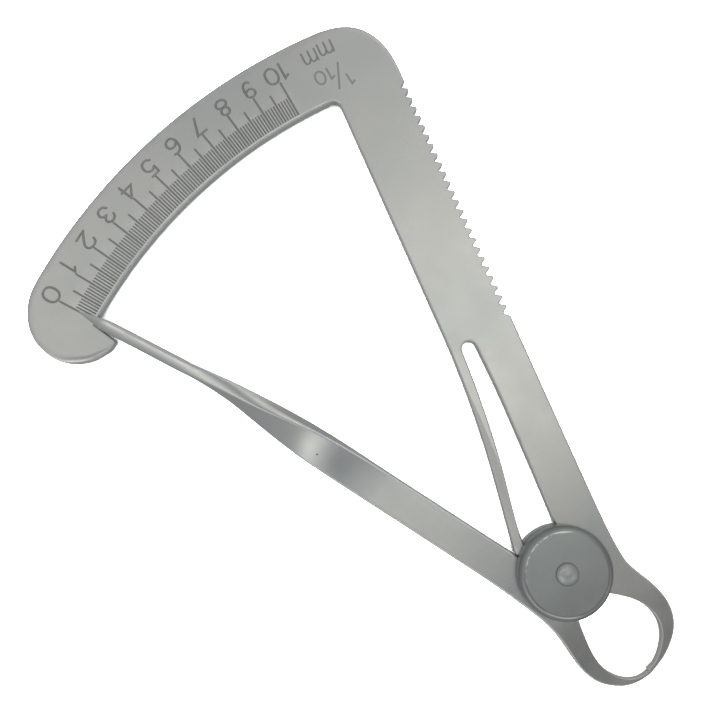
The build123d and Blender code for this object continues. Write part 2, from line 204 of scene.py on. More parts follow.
def inward(pts, closed, ends=None):
    """For each point: miter direction into the metal, which lies right of the way, the
    normals of the edges before and after it, and whether the outline has a corner there."""
    n, out = len(pts), []
    for k in range(n):
        e = []
        for a, b in ((k - 1, k), (k, k + 1)):
            if closed or (a >= 0 and b < n):
                p, q = pts[a % n], pts[b % n]
                L = math.dist(p, q)
                e.append(((q[1] - p[1]) / L, -(q[0] - p[0]) / L))
            else:
                e.append(None)
        n0, n1 = e[0] or e[1], e[1] or e[0]
        mx, my = n0[0] + n1[0], n0[1] + n1[1]
        L = math.hypot(mx, my) or 1.0
        c = max(L / 2, 0.35)
        m = (mx / L / c, my / L / c)
        if ends and (e[0] is None or e[1] is None):
            d = ends[0] if e[0] is None else ends[1]
            c = max(0.35, d[0] * n0[0] + d[1] * n0[1])
            m = (d[0] / c, d[1] / c)
        corner = n0[0] * n1[0] + n0[1] * n1[1] < math.cos(math.radians(19))
        out.append((m, n0, n1, corner))
    return out


def thin(z, y):
    """Height after the jaws are thinned towards the points, and its factor and slope."""
    w = 3.2
    u = Y_THIN0 + w / 2 - y
    if u <= 0:
        return z, 1.0, 0.0
    k = (T_ARM - TIP_T) / T_ARM / (Y_THIN0 - Y_THIN1)
    g, dg = (u * u / (2 * w), u / w) if u < w else (u - w / 2, 1.0)
    if y < Y_THIN1:
        g, dg = Y_THIN0 - Y_THIN1, 0.0
    return Z_MID + (z - Z_MID) * (1 - k * g), 1 - k * g, (z - Z_MID) * k * dg


def bent(nx, ny, nz, z, y):
    """Normal of the thinned jaw for a normal of the flat slab."""
    _, t, a = thin(z, y)
    return (nx, ny - a * nz / t, nz / t)


def slab(sh, trace, z0, z1, closed=True, ends=None, strokes=(), mat=0, groove_mat=1, cap=True):
    """Stamped plate with rounded edges from an outline, metal on its right."""
    pts, rad = trace.pts, trace.rad
    inn = inward(pts, closed, ends)
    n = len(pts)
    half = (z1 - z0) / 2
    prof = [(0, math.radians(-90 + 90 * k / SEG)) for k in range(SEG + 1)]
    prof += [(1, math.radians(90 * k / SEG)) for k in range(SEG + 1)]

    def radii(k, top):
        """Edge rounding: small underneath, except where the edge is round right through."""
        rh, rv = rad[k]
        rv = min(rv, half * 0.96)
        w = 1.0 if top else min(1.0, max(0.0, (rv - 0.6) / 0.2))
        lh, lv = min(rh, 0.3), min(rv, 0.3)
        return (lh + (rh - lh) * w, lv + (rv - lv) * w)

    rings = []
    for top, a in prof:
        ring = []
        for k, ((x, y), (m, _, _, _)) in enumerate(zip(pts, inn)):
            rh, rv = radii(k, top)
            inset = rh * (1 - math.cos(a))
            px, py = x + m[0] * inset, y + m[1] * inset
            z = (z1 - rv if top else z0 + rv) + rv * math.sin(a)
            bare = abs(math.sin(2 * a)) * (0.4 / max(rh, 0.4)) ** 0.5 * (0.25 if py < -5 else 1.0)
            ring.append(sh.vert(px, py, thin(z, py)[0], bare))
        rings.append(ring)

    def norm(side, k, i):
        top, a = prof[i]
        rh, rv = radii(k, top)
        h, v = math.cos(a) / rh, math.sin(a) / rv
        return bent(-side[0] * h, -side[1] * h, v, z1 if top else z0, sh.v[rings[i][k]][1])

    for i in range(len(prof) - 1):
        for k in range(n if closed else n - 1):
            k2 = (k + 1) % n
            s1 = inn[k][2]
            s2 = inn[k2][1]
            if not inn[k][3]:
                s1 = ((inn[k][1][0] + inn[k][2][0]) / 2, (inn[k][1][1] + inn[k][2][1]) / 2)
            if not inn[k2][3]:
                s2 = ((inn[k2][1][0] + inn[k2][2][0]) / 2, (inn[k2][1][1] + inn[k2][2][1]) / 2)
            idx = [rings[i][k], rings[i + 1][k], rings[i + 1][k2], rings[i][k2]]
            sh.face(idx, mat, [norm(s1, k, i), norm(s1, k, i + 1), norm(s2, k2, i + 1), norm(s2, k2, i)])
    if not closed and cap:
        side = [r[0] for r in rings] + [r[-1] for r in reversed(rings)]
        sh.face(side, mat)
    for top, ring in ((0, rings[0]), (1, rings[-1])):
        z = z1 if top else z0
        fill(sh, ring, z, top, strokes if top else (), mat, groove_mat)


def ccw(co, idx):
    area = sum(co[idx[k - 1]].cross(co[idx[k]]) for k in range(len(idx)))
    return idx if area > 0 else idx[::-1]


def inside(p, poly, box):
    """Whether a point lies in a polygon or on its edge."""
    x, y = p
    if x < box[0] or x > box[2] or y < box[1] or y > box[3]:
        return False
    odd = False
    for k in range(len(poly)):
        (ax, ay), (bx, by) = poly[k - 1], poly[k]
        dx, dy = bx - ax, by - ay
        t = max(0.0, min(1.0, ((x - ax) * dx + (y - ay) * dy) / (dx * dx + dy * dy + 1e-18)))
        if math.hypot(ax + dx * t - x, ay + dy * t - y) < 2e-4:
            return True
        if (ay > y) != (by > y) and x < ax + (y - ay) / (by - ay) * dx:
            odd = not odd
    return odd


def fill(sh, ring, z, top, strokes, mat, groove_mat):
    """Flat face inside a ring, with grooves: each is (outer outline, floor outline, depth)."""
    co = [Vector(sh.v[i][:2]) for i in ring]
    faces = [ccw(co, list(range(len(ring))))]
    edges = []
    low, high = min(v.y for v in co), max(v.y for v in co)
    for k in range(9):                     # lines across the jaws where they begin to thin
        y = Y_THIN0 + 1.6 - 3.2 * k / 8
        if low < y < high:
            co += [Vector((-30, y)), Vector((30, y))]
            edges.append((len(co) - 2, len(co) - 1))
    if low < Y_THIN1 < high:
        co += [Vector((-30, Y_THIN1)), Vector((30, Y_THIN1))]
        edges.append((len(co) - 2, len(co) - 1))
    floors = []
    for outline, floor, depth in strokes:
        for poly in (outline, floor):
            a = len(co)
            co += [Vector(p) for p in poly]
            faces.append(ccw(co, list(range(a, len(co)))))
        xs, ys = [p[0] for p in floor], [p[1] for p in floor]
        floors.append((floor, (min(xs) - 1e-3, min(ys) - 1e-3, max(xs) + 1e-3, max(ys) + 1e-3), depth))
    ov, _, of, vo, _, fo = delaunay_2d_cdt(co, edges, faces, 0, 1e-6)
    at = {j: ring[k] for j in range(len(ov)) for k in vo[j] if k < len(ring)}
    for tri, src in zip(of, fo):
        if 0 not in src:
            continue
        idx = []
        for j in tri:
            if j not in at:
                x, y = ov[j]
                deep = max([d for poly, box, d in floors if inside((x, y), poly, box)], default=0.0)
                # painted highlight: the top face over the scale's tick band gets edge value 0.5, which the steel
                # lightens
                tick_band_painted_highlight = 0.5 if strokes and math.hypot(x, y) < 77.7 and x < -7.5 and y > 55 else 0.0
                at[j] = sh.vert(x, y, thin(z, y)[0] - deep, tick_band_painted_highlight)
            idx.append(at[j])
        p = [Vector(sh.v[i]) for i in idx]
        if ((p[1] - p[0]).cross(p[2] - p[0]).z < 0) == bool(top):
            idx = idx[::-1]
        if len(src) > 1:
            sh.face(idx, groove_mat)
        else:
            sh.face(idx, mat, [bent(0, 0, 1 if top else -1, z, sh.v[i][1]) for i in idx])


def ring_plate(sh, r_out, r_in, z0, z1, mat=0, n=48):
    """Half-thickness boss of the lap, hidden under the discs."""
    loops = []
    for r, z in ((r_in, z0), (r_out, z0), (r_out, z1), (r_in, z1)):
        loops.append([sh.vert(r * math.cos(2 * math.pi * k / n), r * math.sin(2 * math.pi * k / n), z)
                      for k in range(n)])
    for i in range(4):
        for k in range(n):
            sh.face([loops[i][k], loops[i][(k + 1) % n], loops[(i + 1) % 4][(k + 1) % n], loops[(i + 1) % 4][k]], mat)


def sweep(sh, stations, mat=0, cap0=True, cap1=True):
    """Skin through closed loops of (point, tangent round the section), with the true
    normal of the skin at every corner."""
    rows = [[sh.vert(*p, e) for p, _, e in loop] for loop in stations]
    m, last = len(stations[0]), len(stations) - 1
    norm = []
    for i, loop in enumerate(stations):
        lo, hi = stations[max(0, i - 1)], stations[min(last, i + 1)]
        row = []
        for k in range(m):
            way = Vector(hi[k][0]) - Vector(lo[k][0])
            row.append([Vector(t).cross(way).normalized() for t in loop[k][1]])
        norm.append(row)
    for i in range(last):
        for k in range(m):
            k2 = (k + 1) % m
            sh.face([rows[i][k], rows[i][k2], rows[i + 1][k2], rows[i + 1][k]], mat,
                    [norm[i][k][1], norm[i][k2][0], norm[i + 1][k2][0], norm[i + 1][k][1]])
    if cap0:
        sh.face(rows[0][::-1], mat)
    if cap1:
        sh.face(rows[-1], mat)


def section(pts, to3d, keep=35.0):
    """Loop for sweep() from section points: tangents before and after each point,
    one and the same unless the section has a corner there."""
    q = [Vector(to3d(*p[:2])) for p in pts]
    n, out = len(q), []
    for k in range(n):
        a, b = (q[k] - q[k - 1]).normalized(), (q[(k + 1) % n] - q[k]).normalized()
        if a.angle(b, 0.0) > math.radians(keep):
            t = (a, b)
        else:                              # on the flats next to a rounding the flat wins
            la, lb = (q[k] - q[k - 1]).length, (q[(k + 1) % n] - q[k]).length
            t = a if la > 3 * lb else b if lb > 3 * la else (a + b).normalized()
            t = (t, t)
        out.append((q[k], t, pts[k][2] if len(pts[k]) > 2 else 0.0))
    return out


# -------------------------------------------------------------- scale grooves
def offset_line(pts, h, closed):
    out, n = [], len(pts)
    for k in range(n):
        e = []
        for a, b in ((k - 1, k), (k, k + 1)):
            if closed or (a >= 0 and b < n):
                p, q = pts[a % n], pts[b % n]
                L = math.dist(p, q) or 1e-9
                e.append((-(q[1] - p[1]) / L, (q[0] - p[0]) / L))
        mx, my = sum(v[0] for v in e), sum(v[1] for v in e)
        L = math.hypot(mx, my) or 1.0
        c = max(L / len(e), 0.5)
        out.append((pts[k][0] + mx / L * h / c, pts[k][1] + my / L * h / c))
    return out


def stroke(pts, w, depth, closed=False, wall=0.11):
    """Grooves for one stroke: sloped walls and a flat floor."""
    h = w / 2
    g = max(0.012, h - wall)

    def ribbon(q, h):
        lo, hi = offset_line(q, -h, False), offset_line(q, h, False)

        def cap(c, p):
            a = math.atan2(p[1] - c[1], p[0] - c[0])
            return [(c[0] + h * math.cos(a - math.pi * t / 4), c[1] + h * math.sin(a - math.pi * t / 4)) for t in (1, 2, 3)]

        return hi + cap(q[-1], hi[-1]) + lo[::-1] + cap(q[0], lo[0])

    if not closed:
        return [(ribbon(pts, h), ribbon(pts, g), depth)]
    lo, hi = offset_line(pts, -h, True), offset_line(pts, h, True)
    li, hj = offset_line(pts, -g, True), offset_line(pts, g, True)
    return [([lo[k - 1], lo[k], hi[k], hi[k - 1]], [li[k - 1], li[k], hj[k], hj[k - 1]], depth) for k in range(len(pts))]


def ellipse(cu, cv, ru, rv, n=24, power=2.0):
    out = []
    for k in range(n):
        c, s = math.cos(2 * math.pi * k / n), math.sin(2 * math.pi * k / n)
        out.append((cu + ru * math.copysign(abs(c) ** (2 / power), c), cv + rv * math.copysign(abs(s) ** (2 / power), s)))
    return out


def bow(pts, step=0.16):
    t = Trace(pts[0], 0)
    t.curve(pts[1:], step=step)
    return t.pts


def place(pts, a, foot):
    return [polar(foot - v, a + math.degrees(u / 81.5)) for u, v in pts]


FIGURES = {
    "0": [("ring", ellipse(-0.26, 1.20, 0.97, 1.22, power=2.3))],
    "1": [("line", [(-0.79, 2.02), (-0.21, 2.44), (-0.21, -0.06)])],
    "2": [("bow", [(-1.15, 1.80), (-0.92, 2.30), (-0.29, 2.48), (0.38, 2.28), (0.58, 1.72),
                   (0.15, 1.08), (-1.01, 0.02)]), ("line", [(-1.08, 0.0), (0.65, 0.08)])],
    "3": [("bow", [(-1.12, 1.86), (-0.80, 2.34), (-0.30, 2.47), (0.26, 2.26), (0.42, 1.86),
                   (0.20, 1.48), (-0.22, 1.30)]),
          ("bow", [(-0.16, 1.30), (0.34, 1.06), (0.52, 0.66), (0.34, 0.18), (-0.10, -0.02),
                   (-0.72, 0.14), (-1.03, 0.60)])],
    "4": [("line", [(0.12, 2.50), (-1.20, 0.98), (0.61, 0.94)]), ("line", [(0.15, 2.42), (0.30, 0.06)])],
    "5": [("line", [(0.38, 2.52), (-0.86, 2.50), (-0.90, 1.50)]),
          ("bow", [(-0.86, 1.52), (-0.23, 1.78), (0.38, 1.48), (0.57, 0.93), (0.35, 0.28),
                   (-0.37, 0.02), (-1.03, 0.42)])],
    "6": [("bow", [(0.38, 2.40), (-0.22, 2.48), (-0.80, 2.12), (-1.02, 1.40), (-1.00, 0.80),
                   (-0.76, 0.26), (-0.28, 0.05)]),
          ("bow", [(-0.32, 0.05), (0.30, 0.26), (0.52, 0.76), (0.34, 1.26), (-0.06, 1.46),
                   (-0.62, 1.34), (-1.00, 0.94)])],
    "7": [("line", [(-0.92, 2.52), (0.66, 2.55), (-0.48, 0.08)])],
    "8": [("ring", ellipse(-0.18, 1.97, 0.64, 0.56, 18)), ("ring", ellipse(-0.18, 0.75, 0.80, 0.62, 18))],
    "9": [("ring", ellipse(-0.11, 1.80, 0.70, 0.62, 18)),
          ("bow", [(0.60, 1.78), (0.56, 1.10), (0.38, 0.46), (-0.02, 0.08), (-0.33, 0.03),
                   (-0.64, 0.32)])],
    "10": [("line", [(-1.64, 2.10), (-1.06, 2.44), (-1.06, 0.06)]),
           ("ring", ellipse(0.62, 1.27, 0.90, 1.20, power=2.3))],
}
strokes = []
for i in range(101):
    a = A_ZERO - i * A_STEP / 10
    r1, w, d = (80.06, 0.29, 0.09) if i % 10 == 0 else (79.08, 0.27, 0.09) if i % 5 == 0 else (77.5, 0.21, 0.08)
    strokes += stroke([polar(74.68, a), polar(r1, a)], w, d)
for k in range(11):
    for kind, pts in FIGURES[str(k)]:
        pts = bow(pts) if kind == "bow" else pts
        strokes += stroke(place(pts, A_ZERO - k * A_STEP, 82.8), 0.35, 0.10, kind == "ring", 0.12)
for a, foot in ((0.28, 82.75), (2.12, 82.50)):
    for kind, pts in (("line", [(-1.0, 1.80), (-1.0, 0.0)]),
                      ("bow", [(-0.98, 1.30), (-0.62, 1.76), (-0.18, 1.76), (0.0, 1.30)]),
                      ("line", [(0.0, 1.34), (0.0, 0.0)]),
                      ("bow", [(0.02, 1.30), (0.38, 1.76), (0.82, 1.76), (1.0, 1.30)]),
                      ("line", [(1.0, 1.34), (1.0, 0.0)])):
        pts = bow(pts) if kind == "bow" else pts
        strokes += stroke(place(pts, a, foot), 0.28, 0.07, wall=0.10)
for kind, pts in (("line", [(-1.14, 3.40), (-0.62, 3.68), (-0.32, 2.12)]),
                  ("line", [(1.55, 3.65), (0.18, -0.02)]),
                  ("line", [(1.42, 1.60), (1.98, 1.88), (2.12, 0.16)]),
                  ("ring", ellipse(3.54, 1.05, 0.76, 1.0, 18))):
    strokes += stroke(place(pts, -0.38, 79.1), 0.30, 0.045, kind == "ring", 0.14)

# ------------------------------------------------------------------ materials


def nodes_of(name):
    m = bpy.data.materials.new(name)
    m.use_nodes = True
    nt = m.node_tree
    return m, nt, nt.nodes["Principled BSDF"]


def link(nt, a, b):
    nt.links.new(a, b)


def steel(name, tint, rough=0.33, grain=1.0, turned=False, along=(1.0, 1.0, 1.0), wear_and_highlight=0.8, pit=None,
          painted_shade_rings=(), painted_light_arcs=(), cloudy=1.0, metal=1.0):
    """Satin stainless steel: cloudy polish, fine grain, hairline marks; wear and a painted highlight from the edge
    attribute, and optional painted shade rings and painted highlight and shade arcs round the pivot axis.
    """
    m, nt, bsdf = nodes_of(name)
    bsdf.inputs["Metallic"].default_value = metal
    tc = nt.nodes.new("ShaderNodeTexCoord")

    def noise(scale, detail, stretch=(1, 1, 1), rot=0.0):
        mp = nt.nodes.new("ShaderNodeMapping")
        mp.inputs["Scale"].default_value = stretch
        mp.inputs["Rotation"].default_value = (0, 0, rot)
        link(nt, tc.outputs["Object"], mp.inputs["Vector"])
        n = nt.nodes.new("ShaderNodeTexNoise")
        n.inputs["Scale"].default_value = scale
        n.inputs["Detail"].default_value = detail
        n.inputs["Roughness"].default_value = 0.55
        link(nt, mp.outputs["Vector"], n.inputs["Vector"])
        return n.outputs["Fac"]

    def mix(fac, a, b):
        n = nt.nodes.new("ShaderNodeMix")
        n.data_type = "RGBA"
        for sock, v in (("Factor_Float", fac), ("A_Color", a), ("B_Color", b)):
            i = next(x for x in n.inputs if x.identifier == sock)
            if isinstance(v, (tuple, float)):
                i.default_value = v
            else:
                link(nt, v, i)
        return next(x for x in n.outputs if x.identifier == "Result_Color")

    def remap(v, a, b, c, d):
        n = nt.nodes.new("ShaderNodeMapRange")
        for key, x in (("From Min", a), ("From Max", b), ("To Min", c), ("To Max", d)):
            n.inputs[key].default_value = x
        link(nt, v, n.inputs["Value"])
        return n.outputs["Result"]

    def times(a, b, op="MULTIPLY"):
        n = nt.nodes.new("ShaderNodeMath")
        n.operation = op
        for i, v in enumerate((a, b)):
            if isinstance(v, float):
                n.inputs[i].default_value = v
            else:
                link(nt, v, n.inputs[i])
        return n.outputs[0]

    cloud = noise(55, 3)
    dull = tuple(t * (1 + (k - 1) * cloudy) for t, k in zip(tint, (0.93, 0.945, 0.95))) + (1.0,)
    clear = tuple(t * (1 + (k - 1) * cloudy) for t, k in zip(tint, (1.04, 1.035, 1.005))) + (1.0,)
    colour = mix(remap(cloud, 0.34, 0.68, 0.0, 1.0), dull, clear)
    # worn along its edges: bare, brighter, broken up by fine noise; the same lightening also paints a highlight over
    # the scale's tick band
    at = nt.nodes.new("ShaderNodeAttribute")
    at.attribute_name = "edge"
    wear_and_painted_highlight = times(at.outputs["Fac"], remap(noise(700, 3), 0.35, 0.62, 0.25, 1.0))
    bright = tuple(min(0.9, t * 1.22) for t in tint) + (1.0,)
    colour = mix(times(wear_and_painted_highlight, wear_and_highlight), colour, bright)
    if pit:
        # one small corrosion pit
        near = nt.nodes.new("ShaderNodeVectorMath")
        near.operation = "SUBTRACT"
        near.inputs[1].default_value = pit
        link(nt, tc.outputs["Object"], near.inputs[0])
        flat = nt.nodes.new("ShaderNodeVectorMath")
        flat.operation = "MULTIPLY"
        flat.inputs[1].default_value = (1.0, 1.0, 0.25)
        link(nt, near.outputs["Vector"], flat.inputs[0])
        ln = nt.nodes.new("ShaderNodeVectorMath")
        ln.operation = "LENGTH"
        link(nt, flat.outputs["Vector"], ln.inputs[0])
        hole = remap(ln.outputs["Value"], 0.00008, 0.00018, 1.0, 0.0)
        colour = mix(hole, colour, (0.05, 0.05, 0.045, 1.0))
    if painted_shade_rings or painted_light_arcs:
        # painted shade: rings round the pivot axis darkened (from, to, darkening); painted highlights and painted
        # shade: arcs at one radius on one side
        fl = nt.nodes.new("ShaderNodeVectorMath")
        fl.operation = "MULTIPLY"
        fl.inputs[1].default_value = (1, 1, 0)
        link(nt, tc.outputs["Object"], fl.inputs[0])
        ra = nt.nodes.new("ShaderNodeVectorMath")
        ra.operation = "LENGTH"
        link(nt, fl.outputs["Vector"], ra.inputs[0])
        for start, stop, share in painted_shade_rings:
            colour = mix(remap(ra.outputs["Value"], start * MM, stop * MM, 0.0 if stop > start else 0.0, share),
                         colour, tuple(t * 0.12 for t in tint) + (1.0,))
        # each arc: radius, width, way, strength, start, stop, level; a high level paints a highlight, a low level
        # paints shade
        for radius, width, way, strength, start, stop, level in painted_light_arcs:
            off = times(times(ra.outputs["Value"], -radius * MM, "ADD"), 1.0, "MULTIPLY")
            near = remap(times(off, 0.0, "ABSOLUTE"), 0.0, width * MM, 1.0, 0.0)
            side = nt.nodes.new("ShaderNodeVectorMath")
            side.operation = "DOT_PRODUCT"
            side.inputs[1].default_value = way
            link(nt, tc.outputs["Object"], side.inputs[0])
            line = times(near, remap(side.outputs["Value"], start * MM, stop * MM, 0.0, strength))
            if level > 0.92:
                line = times(line, remap(noise(1500, 2), 0.42, 0.60, 0.0, 1.0))
            colour = mix(line, colour, (level, level, 0.98 * level, 1.0))
    link(nt, colour, bsdf.inputs["Base Color"])

    r = remap(noise(140, 4), 0.3, 0.7, rough - 0.03, rough + 0.04)
    link(nt, times(r, times(wear_and_painted_highlight, -0.05), "ADD"), bsdf.inputs["Roughness"])

    fine = noise(3200, 3)
    hair = noise(900, 2, along, 0.35)
    b1 = nt.nodes.new("ShaderNodeBump")
    b1.inputs["Strength"].default_value = 0.08 * grain
    b1.inputs["Distance"].default_value = 0.00005
    link(nt, fine, b1.inputs["Height"])
    b2 = nt.nodes.new("ShaderNodeBump")
    b2.inputs["Strength"].default_value = 0.10 * grain
    b2.inputs["Distance"].default_value = 0.00008
    link(nt, hair, b2.inputs["Height"])
    link(nt, b1.outputs["Normal"], b2.inputs["Normal"])
    last = b2
    if turned:
        # turning marks round the pivot axis
        ln = nt.nodes.new("ShaderNodeVectorMath")
        ln.operation = "LENGTH"
        flat = nt.nodes.new("ShaderNodeVectorMath")
        flat.operation = "MULTIPLY"
        flat.inputs[1].default_value = (1, 1, 0)
        link(nt, tc.outputs["Object"], flat.inputs[0])
        link(nt, flat.outputs["Vector"], ln.inputs[0])
        n = nt.nodes.new("ShaderNodeTexNoise")
        n.noise_dimensions = "1D"
        n.inputs["Scale"].default_value = 5200
        n.inputs["Detail"].default_value = 2
        link(nt, ln.outputs["Value"], n.inputs["W"])
        b3 = nt.nodes.new("ShaderNodeBump")
        b3.inputs["Strength"].default_value = 0.06
        b3.inputs["Distance"].default_value = 0.00005
        link(nt, n.outputs["Fac"], b3.inputs["Height"])
        link(nt, b2.outputs["Normal"], b3.inputs["Normal"])
        last = b3
    link(nt, last.outputs["Normal"], bsdf.inputs["Normal"])
    return m


m_frame = steel("frame_satin", (0.60, 0.60, 0.58), 0.29)
# grooves: rougher, with their colour darkened as painted shade in the recesses
m_groove_painted_shade = steel("groove_rough_painted_shade", (0.37, 0.37, 0.36), 0.42, 1.5, wear_and_highlight=0.0)
m_pointer = steel("pointer_satin", (0.585, 0.59, 0.58), 0.29, pit=(-0.02482, 0.02828, 0.0030), cloudy=1.7)
m_leaf = steel("leaf_satin", (0.60, 0.60, 0.58), 0.29)
# painted shade: darker chamfer ring and a dark ring round the rivet's foot; painted highlights on three arcs of the
# rim and painted shade on a fourth
m_disc = steel("disc_turned", (0.455, 0.475, 0.465), 0.30, 0.8, turned=True,
               painted_shade_rings=((5.54, 5.68, 0.34), (1.66, 1.56, 0.45)), painted_light_arcs=((5.62, 0.10, (-0.5, 0.866, 0.0), 0.9, 3.2, 5.0, 0.95),
                    (5.80, 0.18, (-0.50, -0.866, 0.0), 0.6, 5.1, 5.7, 0.9),
                    (5.62, 0.20, (0.32, 0.947, 0.0), 0.8, 5.50, 5.60, 0.9),
                    (6.05, 0.50, (0.80, -0.60, 0.0), 0.8, 1.5, 5.0, 0.20)))
# back disc: colour darkened as painted shade for the gap between the discs, partly diffuse, with a painted highlight
# on one arc of its rim
m_back = steel("disc_back", (0.24, 0.25, 0.245), 0.5, 1.0, turned=True, wear_and_highlight=0.0,
               painted_light_arcs=((6.12, 0.12, (-0.69, 0.72, 0.0), 0.3, 5.75, 6.1, 0.95),), metal=0.75)
# rivet: painted highlight on one side of the dome
m_rivet = steel("rivet_domed", (0.45, 0.465, 0.46), 0.42, 0.8, painted_light_arcs=((0.95, 0.40, (-0.518, 0.8, 0.0), 1.4, 0.0, 4.0, 0.95),))

# ---------------------------------------------------------------- scale frame
root = blade_pt(2.75, 0.64)
stop = blade_pt(6.25, 1.24)
fr = Trace((X_LEAF_L, Y_LEAF), 0.26)
fr.line((-1.75, Y_LEAF + 1.0), 0.27)
fr.line((-1.75, 72.994), 0.28, step=3)
fr.arc((-2.087, 73.787), (-2.893, math.sqrt(R_IN ** 2 - 2.893 ** 2)), 0.28, step=0.2)
fr.arc(polar(R_IN, 20.0), polar(R_IN, math.degrees(math.atan2(-root[0], root[1]))), (0.42, 0.20))
fr.line(stop, (0.26, 0.24), step=0.6)
fr.arc((stop[0] + 0.05, stop[1] - 0.32), (stop[0] - 0.27, stop[1] - 0.62), (0.26, 0.24), step=0.1, r_end=(0.3, 0.3))
fr.curve([(-45.73, 53.52), (-46.49, 53.27), (-47.29, 53.07), (-48.11, 52.96), (-48.84, 52.97),
          (-49.99, 53.17), (-51.47, 53.76), (-52.68, 54.5), (-53.81, 55.72), (-54.6, 57.1),
          (-55.13, 58.6), (-55.31, 60.05), (-55.17, 61.6), (-54.55, 63.45), (-53.54, 65.14),
          (-52.25, 66.45), polar(R_OUT, 36.75)],
         [(0.45, 0.45), (0.8, 0.7), (1.1, 0.86), (1.2, 0.86), (1.2, 0.86), (1.3, 0.8), (1.4, 0.6),
          (1.5, 0.42)] + [(1.5, 0.30)] * 8 + [(1.35, 0.27)])
fr.arc(polar(R_OUT, 19.0), polar(R_OUT, 1.2), (1.35, 0.27), r_end=(1.2, 0.26))
fr.curve([(-0.3, 84.52), (1.5, 84.33), (3.2, 83.90), (4.6, 83.20), (5.75, 82.25), (6.7, 81.05),
          (7.42, 79.6), (7.9, 78.0), (8.15, 76.2), (8.22, 74.5), (8.2, 72.9)], (1.2, 0.26), r_end=(0.3, 0.25))
y = 72.15
fr.line((8.2, y + 0.60), 0.22)
for k in range(25):
    fr.line((7.44, y + 0.12), 0.20)
    fr.line((7.44, y - 0.12), 0.20)
    if k < 24:
        fr.line((8.2, y - 0.57), 0.20)
        fr.line((8.2, y - 1.505 + 0.57), 0.20)
        y -= 1.505
fr.line((8.15, y - 0.72), 0.24)
fr.line((8.12, 14.0), 0.3, step=3)
fr.curve([(8.14, 8.0), (8.2, 3.5), (8.33, 0.6), (8.62, -2.05)], 0.34)
fr.curve([(9.18, -3.50), (9.79, -4.65), (10.42, -5.83), (10.94, -6.93), (11.36, -8.15),
          (11.66, -9.5), (11.66, -10.9), (11.37, -12.25), (10.75, -13.5), (9.59, -14.87),
          (7.97, -16.18), seam_pt(18.35, 0.015)], 0.32, r_end=0.2)
fr.line(seam_pt(17.55, 0.015), 0.2)
fr.curve([(6.35, -16.35), (7.5, -15.42), (8.45, -14.3), (9.1, -13.1), (9.38, -11.8),
          (9.24, -10.4), (8.72, -9.1), (7.95, -7.98), (7.06, -7.07), (6.1, -6.32),
          (4.9, -5.50), (3.1, -4.55)], 0.17, r_end=0.16)
fr.line((1.71, -3.9), 0.2)
fr.line((1.71, -3.054), 0.12)
fr.arc((R_SHOULDER, 0.0), (1.71, 3.054), 0.12)
fr.line((1.71, 6.0), 0.3)
fr.curve([(1.86, 12.0), (1.99, 20.0), (2.03, 27.0), (1.86, 33.35)], 0.32, step=1.2)
fr.arc((0.83, 34.35), (X_LEAF_R, Y_LEAF), 0.30, step=0.15)
sh = Shape()
slab(sh, fr, Z_BACK, Z_FACE, closed=False, ends=((1, 0), (-1, 0)), strokes=strokes)
ring_plate(sh, R_BOSS, R_PIN, Z_MID + 0.02, Z_FACE)
o_frame = sh.build("frame_body", [m_frame, m_groove_painted_shade])
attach(o_frame, "frame")
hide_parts("scale_frame")

# ----------------------------------------------------------------- leaf spring
left = Trace((X_LEAF_L, Y_LEAF), 0).curve([(-2.0, 28.7), (-2.39, 23.55), (-2.91, 18.75), (-3.63, 13.64),
                                           (-4.40, 8.73), (-4.74, 6.6), (-4.99, 5.05), (-4.97, 4.78)], step=0.5).pts
right = Trace((X_LEAF_R, Y_LEAF), 0).curve([(-0.48, 28.2), (-0.93, 22.8), (-1.42, 18.6), (-2.02, 14.7),
                                            (-2.87, 9.9), (-3.43, 5.95), (-3.50, 4.45), (-4.25, 3.80)], step=0.5).pts


def along(pts, t):
    """Point at share t of the height range of a downward line."""
    n = len(pts) - 1
    y = pts[0][1] + (pts[-1][1] - pts[0][1]) * t
    for k in range(n):
        if pts[k + 1][1] <= y + 1e-9:
            u = (pts[k][1] - y) / max(pts[k][1] - pts[k + 1][1], 1e-9)
            return (pts[k][0] + (pts[k + 1][0] - pts[k][0]) * u, y)
    return pts[-1]


def tidy(pts):
    """Section without doubled points."""
    return [p for k, p in enumerate(pts) if math.dist(p[:2], pts[k - 1][:2]) > 1e-6]


def ramp(x, a, b):
    x = min(1.0, max(0.0, (x - a) / (b - a)))
    return x * x * (3 - 2 * x)


